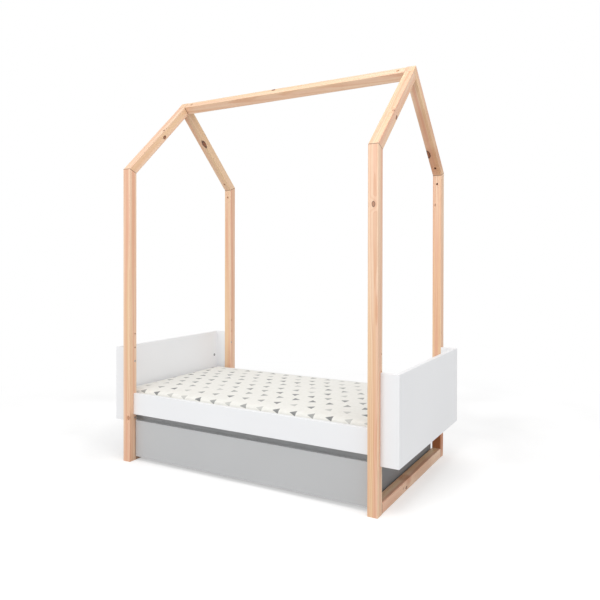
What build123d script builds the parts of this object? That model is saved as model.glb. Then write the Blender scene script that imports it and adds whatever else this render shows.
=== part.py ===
from build123d import *
import math
import os

# A house-shaped child's bed in pine and white board, with a mattress on slats
# and a grey drawer that rolls on the floor. X runs along the bed, the drawer
# opens towards -Y, +Z is up, and the origin is on the floor at the middle.

# Overall sizes, in millimetres
overall_length = 1440.0  # over the outer faces of the two end boards
overall_depth = 795.0  # over the outer faces of the posts
eave_height = 1362.0  # outer edge of the mitre between post and rafter

# Pine frame
post_size = 42.0  # square section of posts, rafters, ridge beam and foot rails
timber_round = 2.5  # rounding along the timbers' edges

# White boards
board_thickness = 18.0
board_round = 1.2
end_reach = 74.0  # from a post's outer face to the end board's outer face
panel_bottom = 182.0
panel_top = 525.0
rail_bottom = 217.0
rail_top = 315.0

# Holes for the cot sides, above the end panels
crib_hole_radius = 3.5
crib_hole_pitch = 64.0
crib_hole_rise = 4.0  # lowest open hole above the panels' top edge
crib_hole_count = 2

# Slatted base
bar_width = 22.0  # of the bar's lip
bar_height = 26.0  # of the part that lies against the side rail
bar_drop = 41.0  # lip of the bar below the side rail
slat_width = 70.0
slat_thickness = 10.0
slat_spacing = 102.0  # largest distance between the slats' centre lines
slat_end_gap = 1.5
tape_width = 25.0
tape_thickness = 1.0

# Mattress
mattress_end_gap = 2.0
mattress_side_gap = 5.5
mattress_edge_height = 73.0
mattress_crown = 9.0  # rise of the top from its edges to its middle
mattress_edge_round = 20.0
mattress_corner_round = 35.0
mattress_draw_in = 4.0  # how far each side curves in between the corners
soft_gap = 0.3

# Drawer
drawer_setback = 33.0  # drawer front behind the posts' front faces
drawer_side_gap = 4.0  # drawer front to each post
drawer_floor_gap = 19.0
grip_gap = 29.5  # from the drawer front's top edge to the side rail
box_wall = 15.0
box_side_gap = 6.0  # box side to each post
box_floor_gap = 24.0
box_top_gap = 8.0  # box walls below the bars' lips
box_rear_gap = 3.5
finger_slot = 20.0  # between the drawer front and the box
finger_depth = 37.5
spacer_width = 60.0
drawer_bottom_thickness = 8.0
groove_depth = 6.0
fit_gap = 0.3  # play of a panel in its groove or between its neighbours

# Castors under the drawer
wheel_radius = 20.0
wheel_width = 18.0
wheel_top_gap = 3.0
castor_plate_thickness = 2.5
castor_plate_length = 62.0
castor_cheek = 2.0
castor_side_gap = 0.7
castor_inset = 98.0  # from the box's side to the castor's middle
castor_end_inset = 56.0  # from the box's front or back to the castor's axle
axle_radius = 3.0
running_gap = 0.05
bearer_width = 60.0
bearer_thickness = 12.0

# Fasteners. The small ones and their holes are prisms, which keeps the facets few
shown_sides = 12
hidden_sides = 6
dowel_radius = 4.0
dowel_length = 30.0
eave_dowel_inset = 14.5  # from the outer edge of the mitre
side_dowel_inset = 12.0  # from the outer face of a post or rafter
ridge_dowel_drop = 9.0  # below the middle of the ridge beam
rail_dowel_drop = 24.0  # below a side rail's top edge
panel_dowel_drop = 56.0  # below an end board's top edge
cam_radius = 7.5
cam_depth = 12.5
cam_axis_depth = 9.0  # connecting bolt below the face that holds the cam
timber_cam_inset = 34.0  # cam's middle from the end of a timber or rail
board_cam_inset = 24.0  # cam's middle from the edge of an end board
cam_bolt_radius = 3.4
cam_bolt_thread = 11.0
cam_bolt_thread_radius = 2.5
cam_bolt_start = 1.0  # bolt's end from the middle of its cam
cam_slot = 1.6
thread_end_gap = 0.5
panel_cam_pitch = 128.0
tie_bolt_radius = 3.0
eave_bolt_inset = 16.0  # along the mitre from its inner edge
eave_nut_reach = 38.8  # cross dowel's middle from the mitre
apex_nut_reach = 38.0  # cross dowel's middle from the end of the front rafter
cross_nut_radius = 5.0
cross_nut_length = 12.0
panel_bolt_radius = 3.0
panel_bolt_head_radius = 5.0
panel_bolt_head_depth = 6.0
bolt_head_drop = 1.5  # bolt heads below the mouths of their recesses
insert_radius = 5.0
insert_length = 22.0
screw_radius = 2.0
screw_head_radius = 4.0
screw_head_height = 2.4
bar_screw_spacing = 260.0
return_screw_reach = 28.0  # last screw of a bar from the post's outer face
bore_gap = 0.1  # radial play of a fastener in its hole

# Places worked out from the sizes above
half_length = overall_length / 2
half_depth = overall_depth / 2
post_x = half_length - end_reach - post_size / 2
post_inner_x = post_x - post_size / 2
post_outer_x = post_x + post_size / 2
post_y = half_depth - post_size / 2
post_inner_y = half_depth - post_size
board_y = post_inner_y + board_thickness / 2
end_board_inner_x = half_length - board_thickness
end_board_x = half_length - board_thickness / 2
panel_height = panel_top - panel_bottom
rail_middle = (rail_bottom + rail_top) / 2

# The rafters lie at 45 degrees, so that they meet square at the ridge
diagonal = post_size * math.sqrt(2)
half_diagonal = diagonal / 2
mitre_angle = math.radians(45) / 2
mitre_cos = math.cos(mitre_angle)
mitre_sin = math.sin(mitre_angle)
mitre_drop = post_size * math.tan(mitre_angle)
ridge_height = eave_height + half_depth
slope = math.sqrt(0.5)

crib_hole_z = panel_top + crib_hole_rise
high_panel_bolt_z = crib_hole_z - crib_hole_pitch
low_panel_bolt_z = (panel_bottom + rail_bottom) / 2
slat_bottom = rail_bottom + bar_height
slat_top = slat_bottom + slat_thickness
mattress_bottom = slat_top + soft_gap
low_panel_cam_z = slat_top + cam_radius + 1.5
panel_cam_heights = (low_panel_cam_z, low_panel_cam_z + panel_cam_pitch)

drawer_front_y = -half_depth + drawer_setback
box_front_y = drawer_front_y + board_thickness + finger_slot
bar_lip_y = -box_front_y
bar_inner_y = bar_lip_y - bar_width
bar_bottom = rail_bottom - bar_drop
box_back_y = post_inner_y - box_rear_gap
box_side_x = post_inner_x - box_side_gap
box_inner_x = box_side_x - box_wall
drawer_front_top = rail_bottom - grip_gap
box_top = bar_bottom - box_top_gap
plate_bottom = 2 * wheel_radius + wheel_top_gap
bearer_bottom = plate_bottom + castor_plate_thickness
drawer_bottom_z = bearer_bottom + bearer_thickness
drawer_bottom_top = drawer_bottom_z + drawer_bottom_thickness
castor_x = box_side_x - castor_inset
castor_front_y = box_front_y + castor_end_inset
castor_back_y = box_back_y - castor_end_inset
spacer_top = drawer_front_top - finger_depth
spacer_places = (-box_side_x * 0.75, 0.0, box_side_x * 0.75)

sides = {"left": -1, "right": 1}
rows = {"front": -1, "rear": 1}
corners = [(sx, sy) for sx in sides.values() for sy in rows.values()]

os.makedirs("parts", exist_ok=True)


def save(piece, name):
    """Give a finished piece its name and write it to its own file."""
    piece.part.label = name
    export_step(piece.part, f"parts/{name}.step")


def pin_bore(mouth, radius, depth, sides=hidden_sides):
    """Hole for a pin of the given radius, in the piece being made. The mouth plane faces out of it."""
    with BuildSketch(mouth) as outline:
        RegularPolygon(radius + bore_gap, sides, major_radius=False)
    extrude(outline.sketch, amount=-depth, mode=Mode.SUBTRACT)


def add_pin(start, radius, length, sides=hidden_sides):
    """Pin that begins on the start plane and runs along its normal."""
    with BuildSketch(start) as outline:
        RegularPolygon(radius, sides)
    extrude(outline.sketch, amount=length)


def facing(x, y, z, towards, along=None):
    """A plane at a point, facing a direction given as a vector."""
    return Plane(origin=(x, y, z), x_dir=along, z_dir=towards)


def at_corner(planes, sx=0, sy=0):
    """Those of the planes that lie on one side, in one row or at one corner."""
    return [plane for plane in planes if plane.origin.X * sx >= 0 and plane.origin.Y * sy >= 0]


def eave(sx, sy):
    """Mitre plane at one eave: origin on its inner edge, X outward along the mitre, Z into the rafter."""
    return Plane(
        origin=(sx * post_x, sy * post_inner_y, eave_height - mitre_drop),
        x_dir=(0, sy * mitre_cos, mitre_sin),
        z_dir=(0, -sy * mitre_sin, mitre_cos),
    )


def eave_point(mitre, along, up):
    """A point given along the mitre and up its normal."""
    return mitre.from_local_coords((along, 0, up))


def eave_bores(mitre, up):
    """Bores for the tie bolt and one cross dowel, up into the rafter or down into the post."""
    bolt_mouth = Plane(origin=eave_point(mitre, eave_bolt_inset, 0), z_dir=mitre.z_dir * -up)
    pin_bore(bolt_mouth, tie_bolt_radius, eave_nut_reach + 2 * cross_nut_radius)
    cross_mouth = Plane(origin=eave_point(mitre, -post_size, up * eave_nut_reach), z_dir=-mitre.x_dir)
    pin_bore(cross_mouth, cross_nut_radius, post_size + eave_bolt_inset + cross_nut_length / 2, shown_sides)


def rafter_line(sy):
    """Direction of a rafter, up its slope."""
    return Vector(0, -sy * slope, slope)


# Mouths of the cam bores, facing out of the timber or board, with X towards the joint
ridge_cams = [
    facing(sx * (post_inner_x - timber_cam_inset), -half_diagonal / 2, ridge_height - half_diagonal / 2,
         (0, -slope, slope), (sx, 0, 0))
    for sx in sides.values()
]
foot_cams = [
    facing(sx * post_inner_x, sy * (post_inner_y - timber_cam_inset), post_size / 2, (-sx, 0, 0), (0, sy, 0))
    for sx, sy in corners
]
rail_cams = [
    facing(sx * (post_inner_x - timber_cam_inset), sy * post_inner_y, rail_middle, (0, -sy, 0), (sx, 0, 0))
    for sx, sy in corners
]
panel_cams = [
    facing(sx * end_board_inner_x, sy * (post_inner_y - board_cam_inset), z, (-sx, 0, 0), (0, sy, 0))
    for sx, sy in corners
    for z in panel_cam_heights
]
shown_cams = ridge_cams + [cam for cam in panel_cams if cam.origin.Z > rail_top]
hidden_cams = foot_cams + rail_cams + [cam for cam in panel_cams if cam.origin.Z < rail_top]


def cam_bolt_mouth(cam, reach):
    """Mouth of a connecting bolt's bore, in the end that faces the joint."""
    point = cam.origin + cam.x_dir * reach - cam.z_dir * cam_axis_depth
    return Plane(origin=point, z_dir=cam.x_dir)


def cam_bores(cam, reach):
    """Bore for the cam and for its bolt, in the piece that holds the cam."""
    pin_bore(cam, cam_radius, cam_depth, shown_sides if cam in shown_cams else hidden_sides)
    pin_bore(cam_bolt_mouth(cam, reach), cam_bolt_radius, reach)


def cam_anchor(cam, reach):
    """Bore for the bolt's thread, in the neighbour on the other side of the joint."""
    mouth = cam_bolt_mouth(cam, reach)
    pin_bore(Plane(origin=mouth.origin, z_dir=-mouth.z_dir), cam_bolt_thread_radius, cam_bolt_thread)


# Centres and axes of the wooden dowels, with how far each runs to the axis' positive side
ridge_dowels = [
    facing(sx * post_inner_x, 0, ridge_height - half_diagonal - ridge_dowel_drop, (sx, 0, 0))
    for sx in sides.values()
]
eave_dowels = [
    Plane(
        origin=eave_point(eave(sx, sy), post_size / mitre_cos - eave_dowel_inset, 0),
        z_dir=eave(sx, sy).z_dir,
    )
    for sx, sy in corners
]
butt_y = -half_diagonal / 2
butt_z = ridge_height - 1.5 * half_diagonal
apex_dowels = [
    facing(sx * (post_outer_x - side_dowel_inset), butt_y, butt_z, (0, slope, slope)) for sx in sides.values()
]
foot_dowels = [
    facing(sx * (post_outer_x - side_dowel_inset), sy * post_inner_y, post_size / 2, (0, sy, 0))
    for sx, sy in corners
]
rail_dowels = [
    facing(sx * post_inner_x, sy * board_y, rail_top - rail_dowel_drop, (sx, 0, 0)) for sx, sy in corners
]
return_dowels = [
    facing(sx * post_outer_x, sy * board_y, rail_top, (sx, 0, 0)) for sx, sy in corners
]
dowel_half = dowel_length / 2
short_dowel_side = board_thickness * 2 / 3
panel_dowels = [
    facing(sx * end_board_x, sy * post_inner_y, panel_top - panel_dowel_drop, (0, sy, 0))
    for sx, sy in corners
]


def dowel_bore(centre, forward, reach):
    """Bore for one end of a dowel. Forward is 1 on the axis' positive side and -1 on the other."""
    mouth = Plane(origin=centre.origin, z_dir=centre.z_dir * -forward)
    pin_bore(mouth, dowel_radius, reach + bore_gap)


# Posts: square timbers standing on the floor, mitred under the rafters
def make_post(sx, sy):
    mitre = eave(sx, sy)
    with BuildPart() as post:
        with BuildSketch(Plane.XY) as section:
            with Locations((sx * post_x, sy * post_y)):
                RectangleRounded(post_size, post_size, timber_round)
        extrude(section.sketch, amount=eave_height + post_size)
        split(bisect_by=mitre, keep=Keep.BOTTOM)
        # Through holes for the cot sides
        for row in range(crib_hole_count):
            z = crib_hole_z + row * crib_hole_pitch
            with Locations(facing(sx * post_outer_x, sy * board_y, z, (sx, 0, 0)).location):
                Hole(crib_hole_radius, post_size)
        # Holes for the bolts that hold the end panel, with a recess for each head
        for z in (low_panel_bolt_z, high_panel_bolt_z):
            mouth = facing(sx * post_inner_x, sy * board_y, z, (-sx, 0, 0))
            pin_bore(mouth, panel_bolt_radius, post_size)
            pin_bore(mouth, panel_bolt_head_radius, panel_bolt_head_depth, shown_sides)
        # Tie bolt and cross dowel of the eave joint
        eave_bores(mitre, -1)
        # Dowels and connecting bolts of the neighbours
        for dowel in at_corner(eave_dowels + return_dowels, sx, sy):
            dowel_bore(dowel, -1, dowel_half)
        for dowel in at_corner(foot_dowels + rail_dowels, sx, sy):
            dowel_bore(dowel, 1, dowel_half)
        for cam in at_corner(foot_cams + rail_cams, sx, sy):
            cam_anchor(cam, timber_cam_inset)
    return post


for row_name, sy in rows.items():
    for side_name, sx in sides.items():
        save(make_post(sx, sy), f"post_{row_name}_{side_name}")


def apex_head_mouth(sx):
    """Mouth of the ridge bolt's hole, on the rear rafter's outer face."""
    return facing(sx * post_x, half_diagonal / 2, ridge_height - half_diagonal / 2, (0, slope, slope))


# Rafters: the rear one runs through to the front slope, the front one butts square against it
def make_rafter(sx, sy):
    mitre = eave(sx, sy)
    line = rafter_line(sy)
    mitre_middle = eave_point(mitre, post_size / mitre_cos / 2, 0)
    if sy > 0:
        top = Plane(origin=(0, 0, ridge_height), z_dir=(0, -slope, slope))
    else:
        top = Plane(origin=(0, 0, ridge_height - diagonal), z_dir=(0, slope, slope))
    start = Plane(origin=mitre_middle - line * post_size, x_dir=(1, 0, 0), z_dir=line)
    with BuildPart() as rafter:
        with BuildSketch(start) as section:
            RectangleRounded(post_size, post_size, timber_round)
        extrude(section.sketch, amount=half_depth / slope + 2 * post_size)
        split(bisect_by=mitre, keep=Keep.TOP)
        split(bisect_by=top, keep=Keep.BOTTOM)
        # Tie bolt, cross dowel and dowel of the eave joint
        eave_bores(mitre, 1)
        for dowel in at_corner(eave_dowels, sx, sy):
            dowel_bore(dowel, 1, dowel_half)
        # Bolt, cross dowel and dowel at the ridge
        if sy > 0:
            head_mouth = apex_head_mouth(sx)
            pin_bore(head_mouth, tie_bolt_radius, post_size)
            pin_bore(head_mouth, panel_bolt_head_radius, panel_bolt_head_depth, shown_sides)
            for cam in at_corner(ridge_cams, sx):
                cam_anchor(cam, timber_cam_inset)
            for dowel in at_corner(ridge_dowels, sx):
                dowel_bore(dowel, 1, short_dowel_side)
        else:
            butt_mouth = facing(sx * post_x, butt_y, butt_z, (0, slope, slope))
            pin_bore(butt_mouth, tie_bolt_radius, apex_nut_reach + 2 * cross_nut_radius)
            nut_middle = butt_mouth.origin - butt_mouth.z_dir * apex_nut_reach
            under = Vector(0, slope, -slope)
            nut_mouth = Plane(origin=nut_middle + under * (post_size / 2), z_dir=under)
            pin_bore(nut_mouth, cross_nut_radius, post_size / 2 + cross_nut_length / 2, shown_sides)
        for dowel in at_corner(apex_dowels, sx):
            dowel_bore(dowel, sy, dowel_half)
    return rafter


for row_name, sy in rows.items():
    for side_name, sx in sides.items():
        save(make_rafter(sx, sy), f"rafter_{row_name}_{side_name}")

# Ridge beam: a square timber set on its corner between the two gables
with BuildPart() as ridge_beam:
    with BuildSketch(Plane.YZ.offset(-post_inner_x)):
        with Locations((0, ridge_height - half_diagonal)):
            RectangleRounded(post_size, post_size, timber_round, rotation=45)
    extrude(amount=2 * post_inner_x)
    for cam in ridge_cams:
        cam_bores(cam, timber_cam_inset)
    for dowel in ridge_dowels:
        dowel_bore(dowel, -1, dowel_length - short_dowel_side)
save(ridge_beam, "ridge_beam")


# Foot rails: one along the floor at each end, between the front and rear post
def make_foot_rail(sx):
    with BuildPart() as foot_rail:
        with BuildSketch(Plane.XZ) as section:
            with Locations((sx * post_x, post_size / 2)):
                RectangleRounded(post_size, post_size, timber_round)
        extrude(section.sketch, amount=post_inner_y, both=True)
        for cam in at_corner(foot_cams, sx):
            cam_bores(cam, timber_cam_inset)
        for dowel in at_corner(foot_dowels, sx):
            dowel_bore(dowel, -1, dowel_half)
    return foot_rail


for side_name, sx in sides.items():
    save(make_foot_rail(sx), f"foot_rail_{side_name}")


# End boards: each stands between two short returns that run back to the posts
def make_end_board(sx):
    with BuildPart() as end_board:
        with BuildSketch(Plane.XZ) as section:
            with Locations((sx * end_board_x, panel_bottom + panel_height / 2)):
                RectangleRounded(board_thickness, panel_height, board_round)
        extrude(section.sketch, amount=post_inner_y, both=True)
        for cam in at_corner(panel_cams, sx):
            cam_bores(cam, board_cam_inset)
        for dowel in at_corner(panel_dowels, sx):
            dowel_bore(dowel, -1, dowel_length - short_dowel_side)
    return end_board


def make_return(sx, sy):
    with BuildPart() as end_return:
        with BuildSketch(Plane.YZ.offset(sx * post_outer_x)) as section:
            with Locations((sy * board_y, panel_bottom + panel_height / 2)):
                RectangleRounded(board_thickness, panel_height, board_round)
        extrude(section.sketch, amount=sx * end_reach)
        end_face = end_return.faces().sort_by(Axis((0, 0, 0), (sx, 0, 0)))[-1]
        outer_edge = end_face.edges().filter_by(Axis.Z).sort_by(Axis((0, 0, 0), (0, sy, 0)))[-1]
        fillet(outer_edge, board_round)
        for cam in at_corner(panel_cams, sx, sy):
            cam_anchor(cam, board_cam_inset)
        for dowel in at_corner(panel_dowels, sx, sy):
            dowel_bore(dowel, 1, short_dowel_side)
        for dowel in at_corner(return_dowels, sx, sy):
            dowel_bore(dowel, 1, dowel_half)
        # Threaded inserts for the panel bolts
        for z in (low_panel_bolt_z, high_panel_bolt_z):
            mouth = facing(sx * post_outer_x, sy * board_y, z, (-sx, 0, 0))
            pin_bore(mouth, insert_radius, insert_length)
            pin_bore(mouth, panel_bolt_radius, insert_length + 2 * panel_bolt_radius)
        for screw in at_corner(return_screws, sx, sy):
            screw_bore(screw, bar_reach)
    return end_return


# Screws that hold the base bars: in the side rails between the posts, in the returns beyond them
bar_reach = post_inner_y - bar_inner_y
bar_screw_length = bar_reach + board_thickness * 2 / 3
rail_screw_run = 2 * post_inner_x - bar_screw_spacing / 2
rail_screw_count = max(2, round(rail_screw_run / bar_screw_spacing) + 1)
rail_screw_step = rail_screw_run / (rail_screw_count - 1)
rail_screw_places = [i * rail_screw_step - rail_screw_run / 2 for i in range(rail_screw_count)]
return_screw_x = post_outer_x + return_screw_reach


def bar_screw_mouths(places):
    """Mouths of the base bars' screw holes, on the bars' inner faces."""
    return [
        facing(x, sy * bar_inner_y, rail_bottom + bar_height / 2, (0, -sy, 0))
        for sy in rows.values()
        for x in places
    ]


rail_screws = bar_screw_mouths(rail_screw_places)
return_screws = bar_screw_mouths((-return_screw_x, return_screw_x))


def screw_bore(screw, start):
    """Pilot hole in the piece behind, from a depth below the screw's mouth."""
    mouth = Plane(origin=screw.origin - screw.z_dir * start, z_dir=screw.z_dir)
    pin_bore(mouth, screw_radius, bar_screw_length - start + bore_gap)


for side_name, sx in sides.items():
    save(make_end_board(sx), f"end_board_{side_name}")
    for row_name, sy in rows.items():
        save(make_return(sx, sy), f"return_{row_name}_{side_name}")


# Side rails: low boards between the posts, flush with their inner faces
def make_side_rail(sy):
    with BuildPart() as side_rail:
        with BuildSketch(Plane.YZ.offset(-post_inner_x)) as section:
            with Locations((sy * board_y, rail_middle)):
                RectangleRounded(board_thickness, rail_top - rail_bottom, board_round)
        extrude(section.sketch, amount=2 * post_inner_x)
        for cam in at_corner(rail_cams, sy=sy):
            cam_bores(cam, timber_cam_inset)
        for dowel in at_corner(rail_dowels, sy=sy):
            dowel_bore(dowel, -1, dowel_half)
        for screw in at_corner(rail_screws, sy=sy):
            screw_bore(screw, bar_reach)
    return side_rail


# Base bars: run the whole length inside the rails and returns, and carry the slats.
# A lip hangs down behind the posts and closes the gap above the drawer front
def make_base_bar(sy):
    bar_half = end_board_inner_x - fit_gap
    with BuildPart() as base_bar:
        with BuildSketch(Plane.YZ.offset(-bar_half)) as section:
            with BuildLine():
                Polyline(
                    (sy * post_inner_y, rail_bottom),
                    (sy * post_inner_y, slat_bottom),
                    (sy * bar_inner_y, slat_bottom),
                    (sy * bar_inner_y, bar_bottom),
                    (sy * bar_lip_y, bar_bottom),
                    (sy * bar_lip_y, rail_bottom),
                    close=True,
                )
            make_face()
        extrude(section.sketch, amount=2 * bar_half)
        for screw in at_corner(rail_screws + return_screws, sy=sy):
            pin_bore(screw, screw_radius, bar_reach)
    return base_bar


for row_name, sy in rows.items():
    save(make_side_rail(sy), f"side_rail_{row_name}")
    save(make_base_bar(sy), f"base_bar_{row_name}")

# Slats, laid across the bars and held apart by two tapes under them
slat_run = 2 * (end_board_inner_x - slat_width / 2 - 3 * slat_end_gap)
slat_count = math.ceil(slat_run / slat_spacing) + 1
slat_step = slat_run / (slat_count - 1)
slat_length = 2 * (post_inner_y - slat_end_gap)
with BuildPart() as slats:
    with BuildSketch(Plane.XZ) as slat_sections:
        with Locations((0, slat_bottom + slat_thickness / 2)):
            with GridLocations(slat_step, 0, slat_count, 1):
                Rectangle(slat_width, slat_thickness)
        chamfer(slat_sections.vertices(), slat_thickness / 6)
    extrude(amount=slat_length / 2, both=True)
save(slats, "slats")

with BuildPart() as slat_tapes:
    with BuildSketch(Plane.XY.offset(slat_bottom - tape_thickness)):
        with GridLocations(0, slat_length / 2, 1, 2):
            Rectangle(slat_run + slat_width / 2, tape_width)
    extrude(amount=tape_thickness)
save(slat_tapes, "slat_tapes")

# Mattress: plan with drawn-in sides, cut by a crowned profile each way
mattress_half_length = end_board_inner_x - mattress_end_gap
mattress_half_width = post_inner_y - mattress_side_gap
mattress_edge_top = mattress_bottom + mattress_edge_height
mattress_crown_top = mattress_edge_top + mattress_crown


def crowned_profile(plane, half_width):
    """Upright profile of the mattress: flat below, crowned above, with round edges."""
    edge_right = (half_width, mattress_edge_top)
    edge_left = (-half_width, mattress_edge_top)
    with BuildSketch(plane) as profile:
        with BuildLine():
            Polyline(edge_left, (-half_width, mattress_bottom), (half_width, mattress_bottom), edge_right)
            ThreePointArc(edge_right, (0, mattress_crown_top), edge_left)
        make_face()
        fillet(profile.vertices(), mattress_edge_round)
    return profile.sketch


with BuildPart() as mattress:
    with BuildSketch(Plane.XY) as plan:
        with BuildLine():
            for turn in (1, -1):
                corner_a = (turn * mattress_half_length, -turn * mattress_half_width)
                corner_b = (turn * mattress_half_length, turn * mattress_half_width)
                corner_c = (-turn * mattress_half_length, turn * mattress_half_width)
                ThreePointArc(corner_a, (turn * (mattress_half_length - mattress_draw_in), 0), corner_b)
                ThreePointArc(corner_b, (0, turn * (mattress_half_width - mattress_draw_in)), corner_c)
        make_face()
        fillet(plan.vertices(), mattress_corner_round)
    extrude(amount=mattress_crown_top + mattress_edge_round)
    cross_profile = crowned_profile(Plane.YZ, mattress_half_width)
    extrude(cross_profile, amount=half_length, both=True, mode=Mode.INTERSECT)
    long_profile = crowned_profile(Plane.XZ, mattress_half_length)
    extrude(long_profile, amount=half_depth, both=True, mode=Mode.INTERSECT)
save(mattress, "mattress")

# Drawer front, set a little back between the posts
with BuildPart() as drawer_front:
    with BuildSketch(Plane.YZ.offset(-post_inner_x + drawer_side_gap)):
        with Locations((drawer_front_y + board_thickness / 2, (drawer_floor_gap + drawer_front_top) / 2)):
            RectangleRounded(board_thickness, drawer_front_top - drawer_floor_gap, board_round)
    extrude(amount=2 * (post_inner_x - drawer_side_gap))
    front_screws = [
        facing(x + shift, box_front_y + box_wall, (drawer_bottom_top + spacer_top) / 2, (0, 1, 0))
        for x in spacer_places
        for shift in (-spacer_width / 4, spacer_width / 4)
    ]
    front_screw_length = box_wall + finger_slot + board_thickness * 2 / 3
    for screw in front_screws:
        pin_bore(screw, screw_radius, front_screw_length + bore_gap)
save(drawer_front, "drawer_front")

# Blocks that hold the front off the box, so that fingers reach behind its top edge
with BuildPart() as drawer_spacers:
    with BuildSketch(Plane.XZ.offset(-(box_front_y - finger_slot))):
        for x in spacer_places:
            with Locations((x, (drawer_bottom_z + spacer_top) / 2)):
                Rectangle(spacer_width, spacer_top - drawer_bottom_z)
    extrude(amount=-finger_slot)
    for screw in front_screws:
        pin_bore(screw, screw_radius, front_screw_length)
save(drawer_spacers, "drawer_spacers")

# Screws through the box's sides into the ends of its front and back walls
box_screw_length = 2.6 * box_wall
box_screws = [
    facing(sx * box_side_x, y, z, (sx, 0, 0))
    for sx in sides.values()
    for y in (box_front_y + box_wall / 2, box_back_y - box_wall / 2)
    for z in (drawer_bottom_top + 2 * box_wall, box_top - 2 * box_wall)
]


def cut_groove(grooved_y, grooved_x):
    """Cut the groove for the drawer bottom, out to the given half extents."""
    with Locations((0, (box_front_y + box_back_y) / 2, drawer_bottom_z)):
        Box(2 * grooved_x, 2 * grooved_y, drawer_bottom_thickness + fit_gap,
            align=(Align.CENTER, Align.CENTER, Align.MIN), mode=Mode.SUBTRACT)


box_half_y = (box_back_y - box_front_y) / 2
groove_x = box_inner_x + groove_depth
groove_y = box_half_y - box_wall + groove_depth


def make_box_end(near_y):
    """Front or back wall of the drawer box, between its sides."""
    with BuildPart() as box_end:
        with BuildSketch(Plane.XZ.offset(-near_y)) as section:
            with Locations((0, (box_floor_gap + box_top) / 2)):
                Rectangle(2 * box_inner_x, box_top - box_floor_gap)
        extrude(section.sketch, amount=-box_wall)
        cut_groove(groove_y, groove_x)
        for screw in box_screws:
            pin_bore(screw, screw_radius, box_screw_length + bore_gap)
    return box_end


with BuildPart() as drawer_box_front:
    add(make_box_end(box_front_y).part)
    for screw in front_screws:
        pin_bore(screw, screw_radius, front_screw_length)
save(drawer_box_front, "drawer_box_front")

drawer_box_back = make_box_end(box_back_y - box_wall)
save(drawer_box_back, "drawer_box_back")


def make_drawer_side(sx):
    with BuildPart() as drawer_side:
        with BuildSketch(Plane.YZ.offset(sx * box_inner_x)) as section:
            with Locations(((box_front_y + box_back_y) / 2, (box_floor_gap + box_top) / 2)):
                Rectangle(2 * box_half_y, box_top - box_floor_gap)
        extrude(section.sketch, amount=sx * box_wall)
        cut_groove(groove_y, groove_x)
        for screw in at_corner(box_screws, sx):
            pin_bore(screw, screw_head_radius, screw_head_height, shown_sides)
            pin_bore(screw, screw_radius, box_wall)
    return drawer_side


for side_name, sx in sides.items():
    save(make_drawer_side(sx), f"drawer_side_{side_name}")

# Drawer bottom, held in the grooves all round
with BuildPart() as drawer_bottom:
    with BuildSketch(Plane.XY.offset(drawer_bottom_z)):
        with Locations((0, (box_front_y + box_back_y) / 2)):
            Rectangle(2 * (groove_x - fit_gap), 2 * (groove_y - fit_gap))
    extrude(amount=drawer_bottom_thickness)
save(drawer_bottom, "drawer_bottom")

# Bearers under the bottom, which carry the castors
castor_places = [(sx * castor_x, y) for sx in sides.values() for y in (castor_front_y, castor_back_y)]
castor_screw_reach = castor_plate_length / 2 - 7
castor_screw_length = castor_plate_thickness + bearer_thickness * 2 / 3
castor_screws = [
    facing(x, y + shift, plate_bottom, (0, 0, -1))
    for x, y in castor_places
    for shift in (-castor_screw_reach, castor_screw_reach)
]
with BuildPart() as drawer_bearers:
    with BuildSketch(Plane.XY.offset(bearer_bottom)):
        with Locations((0, (box_front_y + box_back_y) / 2)):
            with GridLocations(2 * castor_x, 0, 2, 1):
                Rectangle(bearer_width, 2 * (box_half_y - box_wall - fit_gap))
    extrude(amount=bearer_thickness)
    for screw in castor_screws:
        pin_bore(screw, screw_radius, castor_screw_length + bore_gap)
save(drawer_bearers, "drawer_bearers")

# One castor housing: a plate with two tapered cheeks folded down beside the wheel
cheek_inner = wheel_width / 2 + castor_side_gap
cheek_outer = cheek_inner + castor_cheek
cheek_foot = wheel_radius - 2.2 * axle_radius
cheek_height = bearer_bottom - cheek_foot
with BuildPart() as housing:
    with BuildSketch(Plane.XZ):
        with Locations((0, plate_bottom + castor_plate_thickness / 2)):
            Rectangle(2 * cheek_outer + castor_plate_length / 2, castor_plate_thickness)
        for side in (-1, 1):
            with Locations((side * (cheek_inner + castor_cheek / 2), (cheek_foot + bearer_bottom) / 2)):
                Rectangle(castor_cheek, cheek_height)
    extrude(amount=castor_plate_length / 2, both=True)
    with BuildSketch(Plane.YZ) as cheek_outline:
        with BuildLine():
            Polyline(
                (-2 * axle_radius, cheek_foot),
                (2 * axle_radius, cheek_foot),
                (0.75 * wheel_radius, plate_bottom),
                (castor_plate_length / 2, plate_bottom),
                (castor_plate_length / 2, bearer_bottom),
                (-castor_plate_length / 2, bearer_bottom),
                (-castor_plate_length / 2, plate_bottom),
                (-0.75 * wheel_radius, plate_bottom),
                close=True,
            )
        make_face()
    extrude(cheek_outline.sketch, amount=bearer_width, both=True, mode=Mode.INTERSECT)
    pin_bore(facing(cheek_outer, 0, wheel_radius, (1, 0, 0)), axle_radius, 2 * cheek_outer)
    for shift in (-castor_screw_reach, castor_screw_reach):
        pin_bore(facing(0, shift, plate_bottom, (0, 0, -1)), screw_radius, castor_plate_thickness)

with BuildPart() as castor_housings:
    with Locations(*castor_places):
        add(housing.part)
save(castor_housings, "castor_housings")

# Axle pins, with a head outside each cheek
axle_head_height = 2.0
with BuildPart() as axle:
    Cylinder(axle_radius, 2 * cheek_outer, rotation=(0, 90, 0))
    add_pin(Plane.YZ.offset(cheek_outer), 1.6 * axle_radius, axle_head_height)
    add_pin(Plane.YZ.offset(-cheek_outer), 1.6 * axle_radius, -axle_head_height)
with BuildPart() as castor_axles:
    with Locations(*[(x, y, wheel_radius) for x, y in castor_places]):
        add(axle.part)
save(castor_axles, "castor_axles")

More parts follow.
